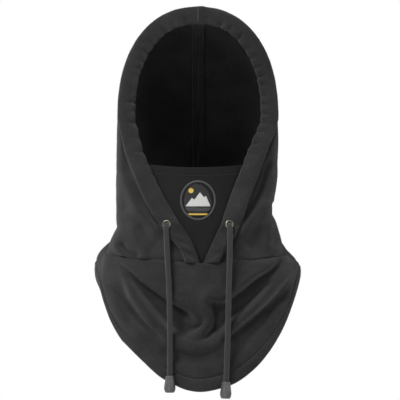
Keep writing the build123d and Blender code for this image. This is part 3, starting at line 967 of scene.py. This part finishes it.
def stitches(name, line, normals, kind, material=THREAD, body="hood", slot="fleece"):
    """A row of sewing stitches along a line on a surface."""
    length, gap, thick, proud = kind
    along = distances(line)
    points, faces = [], []
    turn = full_turn(6)[None, :, None]
    swell = thick * np.array([0.5, 0.9, 1, 1, 0.9, 0.5])[:, None, None]
    rise = proud - thick * 1.6 * np.abs(np.linspace(-1, 1, 6)) ** 3
    for i in range(int(along[-1] / (length + gap))):
        at = (i + 0.5) * (length + gap) + np.linspace(-0.5, 0.5, 6) * length
        up = unit(between(at, along, normals))
        place = between(at, along, line) + up * rise[:, None]
        side = unit(np.cross(unit(np.gradient(place, axis=0)), up))
        ring = place[:, None] + swell * (side[:, None] * np.cos(turn) + up[:, None] * np.sin(turn))
        faces.extend([tuple(len(points) + v for v in face) for face in tube_faces(6, 6)])
        points.extend(ring.reshape(-1, 3))
    dress(new_mesh(name, points, faces, material), body=body, slot=slot)


def raise_nap(name, points, kind, side, outwards=-1, lift=0.0):
    """Loose fibres rooted in a cloth's surface, each a slender closed spike."""
    count, seed = kind
    random = np.random.default_rng(seed + side)
    rows, columns = points.shape[:2]
    row = random.uniform(0, rows - 1.001, count)
    column = random.uniform(0, columns - 1.001, count)
    r, c = row.astype(int), column.astype(int)
    down, right = (row - r)[:, None], (column - c)[:, None]
    upper = points[r, c] * (1 - right) + points[r, c + 1] * right
    lower = points[r + 1, c] * (1 - right) + points[r + 1, c + 1] * right
    normals = outwards * grid_normals(points)[r, c]
    root = upper * (1 - down) + lower * down + normals * (lift - NAP_THICK)
    way = unit(normals + random.normal(0, 0.55, (count, 3)))
    across = unit(np.cross(way, random.normal(size=(count, 3)))) * NAP_THICK / 2
    other = np.cross(way, across)
    tip = root + way * (NAP_THICK + NAP_TALL * random.uniform(0.45, 1.15, (count, 1)))
    spikes = np.stack([root - across, root + across, root + other, tip], 1)
    faces = np.array([(0, 1, 2), (0, 3, 1), (1, 3, 2), (2, 3, 0)])
    index = (np.arange(count)[:, None, None] * 4 + faces).reshape(-1, 3).tolist()
    # The fibres take the paler fibre material, which is painted sheen.
    dress(new_mesh(f"nap_{name}", spikes, index, NAP_FIBRE_PAINTED_SHEEN))


# ---- bib

def bib_width(x, z):
    """The bib's half width at a height, on each point's side."""
    left = smooth_value(BIB_WIDTHS[-1], z)
    right = smooth_value(BIB_WIDTHS[1], z)
    return np.where(x < 0, left, right)


def ring_depth(x, z, table, power):
    """The bib's depth from its split, seen from the front."""
    reach = smooth_value(table, z) - SPLIT_Y
    share = np.clip(1 - np.abs(x / bib_width(x, z)) ** power, 0, 1)
    return SPLIT_Y + reach * share ** (1 / power)


FRONT_TERRAIN = (
    ([(-92, -238), (-62, -250), (0, -253), (60, -250), (86, -238)], [0]),
    ([(-62, -257), (-32, -266), (0, -270), (30, -266), (58, -256)], [1, 0.5, 0.5, 0.5, 1]),
    ([(-14, -282), (-2, -288)], [1.5]),
    ([(-86, -240), (-72, -254), (-57, -265), (-41, -276), (-31, -283), (-21, -289), (-9, -295), (-1, -303),
      (3, -310)], [0, 1, 2.5, 2.5, 2.5, 3, 3.5, 3, 2]),
    ([(-78, -255), (-60, -269.5), (-43, -281), (-32, -288.5), (-22, -294.5), (-12, -300.5), (-6, -308)],
     [-2, -10, -14, -15, -14, -12, -6]),
    ([(-69, -267), (-58, -279), (-48, -289), (-37, -301), (-26, -311), (-14, -319)],
     [-6, -12, -15, -15.5, -14, -11]),
    ([(84, -240), (72, -254), (57, -263), (45, -272), (34, -280), (24, -286), (16, -285)],
     [0, 1.5, 2.5, 2.5, 2.5, 3, 3]),
    ([(84, -250), (71, -261), (57, -270), (45, -279.5), (34, -287.5), (26, -293), (18, -294)],
     [-2, -9, -13, -15, -15, -13, -9]),
    ([(15, -281), (7, -286), (5.6, -291), (6.8, -299), (10, -306), (9.8, -313), (4.8, -319), (-5, -326)],
     [3, 4.5, 5, 5.5, 6, 5, 3.5, 1]),
    ([(-1, -293), (1, -301), (4, -309), (0, -316), (-10, -320)], [2, 0, -4, -8, -8]),
    ([(15, -292), (17, -302), (17, -312), (9, -323)], [-8, -12, -12, -6]),
    ([(70, -274), (57, -287), (46, -297), (34, -306), (22, -317)], [-5, -10, -13, -14, -11]),
    ([(-83, -245), (-76, -258), (-67.5, -275), (-60, -290), (-50, -305), (-38.5, -319), (-26, -328),
      (-12, -333.5), (1, -335), (13, -330.5), (27, -320), (39, -309), (57, -294.5), (75, -276), (88, -262),
      (92, -250)],
     [0, 1.5, 2.5, 3, 3, 3, 3.5, 3.5, 3.5, 3.5, 4, 4, 4, 3.5, 2, 0]),
    ([(-81, -270), (-74, -288), (-62, -303.5), (-50, -314.5), (-38, -324)], [-2, -7, -8, -7, -3]),
    ([(-84, -292), (-74, -309), (-61, -323)], [1.5, 3, 3]),
    ([(31, -327), (46, -316), (61, -304), (78, -289), (92, -271)], [-3, -9, -10, -7, -1]),
    ([(40, -330), (52, -319), (66, -306)], [-3, -6, -5]),
    ([(-27, -342), (-10, -345), (8, -343), (24, -336)], [-1.5]),
    ([(-86, -304), (-60, -336), (-27, -355), (5, -360), (38, -353), (64, -330), (86, -300)],
     [1, 3, 4.5, 4.5, 2, 2, 1]),
    ([(-97, -283), (-87, -309), (-68, -339), (-36, -362), (3, -375), (36, -366), (67, -339), (87, -309),
      (97, -283)], [0, 1.5, 3.5, 6, 6.5, 4, 3, 1.5, 0]),
)


def back_folds(x, z):
    """The soft swags of the bib's back."""
    swag = fold(x, z, [(-85, -250), (-55, -292), (0, -312), (52, -290), (84, -252)], 6.0, 14, 8, 0.15)
    return swag + fold(x, z, [(-60, -246), (-25, -268), (5, -274), (40, -262)], 4.0, 10, 8, 0.3)


def whole_share(share):
    """Shares of the bib's width, stretched a little so that both ends reach its sides."""
    return share / np.where(share < 0, -share.min(), share.max())


def share_round(neck, power):
    """Each point's share of the bib's width, from how far round the neck it is."""
    depth = np.abs(neck[:, 1] - SPLIT_Y)
    share = (1 - np.clip(depth / depth.max(), 0, 1) ** power) ** (1 / power)
    return share * np.sign(neck[:, 0])


def bib_form(neck, hem, table, power, facing):
    """The flap's plain form, as a grid from the neck seam down to the hem."""
    if facing < 0:
        neck_share = whole_share(neck[:, 0] / bib_width(neck[:, 0], neck[:, 2]))
    else:
        neck_share = share_round(neck, power)
    hem_share = whole_share(hem[:, 0] / bib_width(hem[:, 0], hem[:, 2]))
    down = np.linspace(0, 1, BIB_GRID[0])[:, None]
    z = neck[:, 2] + (hem[:, 2] - neck[:, 2]) * down
    at = neck_share + (hem_share - neck_share) * down
    x = at * bib_width(at, z)
    points = np.stack([x, ring_depth(x, z, table, power), z], -1)
    return points + (neck - points[0])[None] * ((1 - down) ** 3)[..., None]


def bib_relief(points, to_hem, facing):
    """How far the flap's cloth stands out from its plain form."""
    down = np.linspace(0, 1, len(points))[:, None]
    if facing < 0:
        tall = soften(terrain(points[..., 0], points[..., 2], FRONT_TERRAIN), 4)
    else:
        tall = back_folds(points[..., 0], points[..., 2]) + 1.4 * ripple(points, 70, 47)
    tall *= smoothstep(0, 28, np.abs(points[..., 1] - SPLIT_Y))
    tall = tall + waves(points, BIB_WAVES)
    tall *= smoothstep(0, 0.06, down) * (0.6 + 0.4 * smoothstep(0, 16, to_hem))
    tall += 0.9 * smoothstep(HEM, HEM - 2.5, to_hem) - 1.1 * hump(to_hem, HEM, 1.3)
    return tall - 1.4 * smoothstep(0.03, 0, down)


def normals_facing(points, facing):
    """A flap's normals, turned so that they point out of the bib."""
    normals = grid_normals(points)
    middle = normals[points.shape[0] // 2, points.shape[1] // 2]
    return normals if middle[1] * facing >= 0 else -normals


def with_hem(points, normals):
    """The flap with its lower edge turned in and back up."""
    edge = points[-1]
    way, inward = unit(edge - points[-2]), -normals[-1]
    turns = np.radians(HEM_TURNS)[:, None, None]
    turned_in = edge + way * HEM_TURN_R * np.sin(turns) + inward * HEM_TURN_R * (1 - np.cos(turns))
    back_up = turned_in[-1] + (points[-2:-2 - HEM_BACK_ROWS:-1] - edge)
    return np.concatenate([points, turned_in, back_up])


def bib_flap(name, node_names, neck, hem, table, power, facing):
    """A flap from the neck seam to its curved hem, with the hem turned up inside. facing is -1 in front."""
    neck = resample(neck, BIB_GRID[1])
    x, z = smooth_line(hem, 400).T
    hem = resample(np.stack([x, ring_depth(x, z, table, power), z], -1), len(neck))
    points = bib_form(neck, hem, table, power, facing)
    to_hem = np.cumsum(np.linalg.norm(np.diff(points, axis=0), axis=2)[::-1], 0)[::-1]
    to_hem = np.vstack([to_hem, np.zeros((1, len(neck)))])
    outwards = unit(normals_facing(points, facing) * (0.35, 1, 0.5))
    points = points + outwards * bib_relief(points, to_hem, facing)[..., None]
    points[:, [0, -1], 1] -= BIB_OVERLAP * facing
    normals = normals_facing(points, facing)
    grid = with_hem(points, normals)
    middle = (len(points) // 2, len(neck) // 2)
    if grid_normals(grid)[middle] @ normals[middle] < 0:
        grid = grid[:, ::-1]
    raise_nap(name, grid, BIB_NAP, facing, 1, BIB_CLOTH)
    made = dress(cloth_sheet(name, grid, FLEECE, BIB_CLOTH), *node_names)
    at_seam = (np.argmin(np.abs(to_hem - HEM), axis=0), np.arange(len(neck)))
    sewn = points[at_seam] + BIB_CLOTH * normals[at_seam]
    stitches(f"{name}_stitches", sewn, normals[at_seam], HEM_STITCH)
    return made


def neck_line(side):
    """The neck seam from the front centre round one side to the back centre."""
    paths, lengths = hood_paths(np.array([0.998, 1.0]), side)
    wanted = np.linspace(0, lengths[-1, -1], 240)
    line = along_paths(paths[-1:], lengths[-1:], wanted[None])[0]
    return np.vstack([[0, line[0, 1], line[0, 2]], line]) * (side, 1, 1)


def front_and_back(line):
    """The two parts of a neck seam line, divided at the bib's split."""
    split = between([SPLIT_Y], line[:, 1], line)
    return np.vstack([line[line[:, 1] < SPLIT_Y], split]), np.vstack([split, line[line[:, 1] > SPLIT_Y]])


def bibs():
    """The bib's front and back flaps."""
    right_front, right_back = front_and_back(neck_line(1))
    left_front, left_back = front_and_back(neck_line(-1))
    front = np.vstack([right_front[::-1][:-2], left_front[2:]])
    back = np.vstack([right_back, left_back[::-1]])
    nodes = ["bib_front", "bib_hem_front"]
    flap = bib_flap("bib_front_cloth", nodes, front, FRONT_HEM, BIB_FRONTS, FRONT_POWER, -1)
    flap = bib_flap("bib_back_cloth", ["bib_back", "bib_hem_back"], back, BACK_HEM, BIB_BACKS, BACK_POWER, 1)


# ---- mask

def on_mask(x, z, proud):
    """Points on the mask, or standing out from it."""
    return np.stack([x, front_y(x, z, MASK_INSET) - proud, z], -1)


def mask_rise(x):
    """How much higher the mask's top edge is towards its ends."""
    return 2.6 * np.abs(x / 45) ** 2


def mask():
    """The thin cloth over the mouth and nose, stretched between the casings."""
    down = np.linspace(0, 1, MASK_GRID[0])[:, None]
    z = MASK_TOP + (MASK_BOTTOM - MASK_TOP) * down
    s = (1 + (z[:, 0] - FACE_ARCH_Z) / (SEAM_FRONT_Z - FACE_ARCH_Z)) / 2
    widest = np.maximum(opening_point(np.clip(s, 0, 1), -1)[:, 0], opening_point(s, 1)[:, 0])
    half = np.minimum(widest + MASK_PAST_EDGE, MASK_HALF_MOST)
    x = half[:, None] * np.linspace(-1, 1, MASK_GRID[1])
    z = z + mask_rise(x) * (1 - down) ** 2 - MASK_DIP * (1 - down)
    folds = fold(x, z, [(-40, -190), (-18, -222), (0, -250)], MASK_FOLD, 7, 9)
    folds += fold(x, z, [(42, -188), (20, -220), (2, -250)], MASK_FOLD, 9, 7)
    points = on_mask(x, z, folds + 0.25 * ripple(np.stack([x, 0 * x, z], -1), 30, 77))
    made = cloth_sheet("mask_cloth", points, MASK_CLOTH, MASK_CLOTH_THICK)
    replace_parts(made, "mask_panel")
    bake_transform(made)


def mask_hem():
    """The mask's folded top edge, with its row of stitches."""
    columns, around = 120, 18
    x = np.linspace(-MASK_HEM_HALF, MASK_HEM_HALF, columns)
    top = MASK_TOP + mask_rise(x) - MASK_DIP
    rings = []
    for w in full_turn(around):
        z = top - MASK_HEM_DROP / 2 * (1 - math.cos(w))
        proud = 0.2 + 1.35 * math.copysign(abs(math.sin(w)) ** 0.5, math.sin(w))
        rings.append(on_mask(x, z, proud + 0.12 * np.sin(x * 0.4 + 1)))
    grid = np.stack(rings, 1)
    caps = [face[::-1] for face in tube_faces(columns, around)[-2:]]
    made = new_mesh("mask_hem_cloth", grid, grid_faces(columns, around, True) + caps, MASK_CLOTH)
    dress(made, "mask_hem", body="mask_edge", slot="mask_cloth")
    line = on_mask(x, top - MASK_HEM_SEAM, 1.25)
    ahead = np.tile([0.0, -1.0, 0.0], (columns, 1))
    stitches("mask_hem_stitches", line, ahead, MASK_STITCH, body="mask_edge", slot="mask_cloth")


# ---- patch

def patch_field():
    """The patch's woven ground, slightly domed, in fine vertical satin rows."""
    cx, cz, a, b = PATCH
    turn = full_turn(96)
    rings = []
    for share in np.linspace(0.02, 1, 26):
        x, z = cx + a * share * np.cos(turn), cz + b * share * np.sin(turn)
        dome = 1.5 * (1 - share**6) + 0.08 * np.sin(x * 5.5)
        rings.append(on_mask(x, z, dome + 0.2))
    faces = [face[::-1] for face in grid_faces(len(rings), len(turn), True)]
    faces.append(tuple(range(len(turn))))
    made = new_mesh("patch_field", np.stack(rings), faces, PATCH_FIELD)
    dress(made, "mask_patch", body="mask_edge", slot="patch_cloth")


def patch_rim():
    """The overlocked edge: a round rim of slanting threads."""
    cx, cz, a, b = PATCH
    turn, t = full_turn(720), full_turn(10)
    line = on_mask(cx + (a - RIM_INSET) * np.cos(turn), cz + (b - RIM_INSET) * np.sin(turn), 1.1)
    run = unit(np.roll(line, -1, 0) - np.roll(line, 1, 0))
    across = unit(np.cross(run, np.array([0.0, -1.0, 0.0])))
    out = unit(np.cross(across, run))
    radius = RIM_R + RIM_THREAD * np.sin(turn[:, None] * 120 + t[None] * 1.5)
    ring = across[:, None] * np.cos(t)[None, :, None] + 0.8 * out[:, None] * np.sin(t)[None, :, None]
    grid = line[:, None] + radius[..., None] * ring
    grid = np.concatenate([grid, grid[:1]])
    made = new_mesh("patch_rim", grid, grid_faces(*grid.shape[:2], True), PATCH_RIM)
    dress(made, "patch_border", body="mask_edge", slot="patch_thread")


def spans(outline, way, side, offset):
    """Where a straight line across a closed outline is inside it, as (from, to) pairs along the line."""
    cuts = []
    for p, q in zip(outline, np.roll(outline, -1, 0)):
        a, b = p @ side - offset, q @ side - offset
        if a * b < 0:
            cuts.append((p + (q - p) * a / (a - b)) @ way)
    cuts.sort()
    return zip(cuts[::2], cuts[1::2])


def satin(name, outline, slope, material, proud=2.0, pitch=0.42):
    """A shape filled with parallel satin threads."""
    outline = np.array(outline, float) + PATCH[:2]
    angle = math.radians(slope)
    way = np.array([math.cos(angle), math.sin(angle)])
    side = np.array([-way[1], way[0]])
    reach = outline @ side
    points, faces = [], []
    round_thread = np.linspace(0, np.pi, 5)
    rise = proud + 0.28 * (1 - np.abs(np.linspace(-1, 1, 7)) ** 4)
    for offset in np.arange(reach.min() + pitch / 2, reach.max(), pitch):
        for low, high in spans(outline, way, side, offset):
            if high - low < 0.3:
                continue
            faces.extend([tuple(len(points) + v for v in face) for face in grid_faces(7, 5)])
            for value, tall in zip(np.linspace(low, high, 7), rise):
                for w in round_thread:
                    spot = way * value + side * (offset + pitch * 0.55 * math.cos(w))
                    points.append(on_mask(spot[0], spot[1], tall - 0.25 + 0.25 * math.sin(w)))
    return dress(new_mesh(name, points, faces, material), body="mask_edge", slot="motif_thread")


def patch():
    """A plain badge: mountains over foothills, a sun and a bar."""
    patch_field()
    patch_rim()
    peaks = [(-12.5, -6), (-6, 2.5), (-3.6, 0.6), (2, 8), (6, 3), (8, 4.4), (12.5, -6)]
    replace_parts(satin("patch_peaks", peaks, 65, PATCH_WHITE), "patch_motif")
    hills = [(-13.2, -7.4), (-5, -6.8), (2, -7.6), (13.2, -7.2), (11, -10.4), (0, -11.4), (-11, -10.4)]
    satin("patch_foothills", hills, 5, PATCH_RIM)
    x, z, radius = SUN
    turn = np.linspace(0, 2 * math.pi, 20)[:-1]
    satin("patch_sun", [(x + radius * math.cos(a), z + radius * math.sin(a)) for a in turn], 90, PATCH_GOLD)
    satin("patch_bar", [(-10, -13.2), (10, -13.2), (8.6, -14.8), (-8.6, -14.8)], 90, PATCH_GOLD)


# ---- seams and CAD pieces

def keep_node(node, material):
    """Show a CAD piece as it is, in this material."""
    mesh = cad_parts[node].data
    mesh.materials.clear()
    mesh.materials.append(material)


def kept_nodes():
    """The eyelets' rings, and materials for the small CAD pieces."""
    for side in SIDES.values():
        eyelet(side)
        keep_node(f"cord_knot_{side}", CORD_KNIT)
        keep_node(f"eyelet_washer_{side}", METAL)
        keep_node(f"eyelet_backing_{side}", MASK_CLOTH)
        keep_node(f"mask_tack_{side}", MASK_CLOTH)
    keep_node("drawcord", CORD_KNIT)


def casing_seams():
    """Stitches that close the casing, along its outer edge."""
    for side, name in SIDES.items():
        top, out = casing_surface(side, np.array([0.86, 0.93]), SEAM_ROWS)
        line, normals = top[3:-2, 1] * (side, 1, 1), out[3:-2] * (side, 1, 1)
        stitches(f"casing_stitches_{name}", line, normals, CASING_STITCH)


def inner_strip(name, base, up_hood, across, node):
    """A seam allowance pressed flat against the hood's inside, its cut edge slightly wavy."""
    along = distances(base)
    share = np.linspace(0, 1, 9)
    wave = 0.5 * np.sin(along / 4.1) + 0.3 * np.sin(along / 1.9)
    width = SEAM_WIDTH + 0.35 * np.sin(along / 6.3)
    lift = 0.55 + (0.25 + 0.3 * wave[:, None]) * share[None] ** 2
    grid = base[:, None] + across[:, None] * (share[None] * width[:, None])[..., None]
    grid = grid - up_hood[:, None] * (CLOTH + 1.5 + lift)[..., None]
    dress(cloth_sheet(name, grid, FLEECE, SEAM_CLOTH), node)
    edge = grid[:, -2] - up_hood * 0.1
    stitches(f"{name}_stitches", edge, -up_hood, SEAM_STITCH, SEAM_THREAD)


def crown_allowance(side, name):
    """The turned-in edges along the crown and back seam."""
    paths, lengths = hood_paths(np.linspace(0, 0.985, 120), side)
    over = paths[0][lengths[0] > CASING + 4][:-50]
    profile = resample(np.vstack([over, paths[1:, -1] * (0, 1, 1)]), 260)
    run = unit(np.gradient(profile, axis=0))
    up_hood = unit(np.stack([0 * run[:, 0], -run[:, 2], run[:, 1]], 1))
    across = np.tile([float(side), 0, 0], (len(profile), 1))
    inner_strip(f"crown_seam_{name}", profile + across * 0.3, up_hood, across, "crown_seam")


def neck_allowance(side, name):
    """The turned-in edges round the neck seam."""
    paths, lengths = hood_paths(np.array([0.965, 1.0]), side)
    wanted = np.linspace(CASING_END + 6, lengths[1, -1], 200)
    places = np.stack([wanted * lengths[0, -1] / lengths[1, -1], wanted])
    high, low = along_paths(paths, lengths, places) * (side, 1, 1)
    rise = unit(high - low)
    up_hood = unit(np.cross(unit(np.gradient(low, axis=0)), rise)) * -side
    if up_hood[0, 1] > 0:
        up_hood = -up_hood
    inner_strip(f"neck_seam_{name}", low + rise * 0.4, up_hood, rise, "neck_seam")


def crown_join():
    """The short seam that joins the casing's halves over the forehead."""
    u = np.linspace(-0.95, 0.9, 14)
    top, out = casing_surface(1, u, SEAM_ROWS)
    normal = np.tile(out[0] * (0, 1, 1), (len(u), 1))
    stitches("crown_join_stitches", top[0] * (0, 1, 1), normal, JOIN_STITCH, SEAM_THREAD)


for half_side, half_name in SIDES.items():
    hood_half(half_side, half_name)
    casing_half(half_side, half_name)
casing_seams()
crown_join()
for half_side, half_name in SIDES.items():
    crown_allowance(half_side, half_name)
    neck_allowance(half_side, half_name)
bibs()
mask()
mask_hem()
patch()
kept_nodes()
stage_and_light()
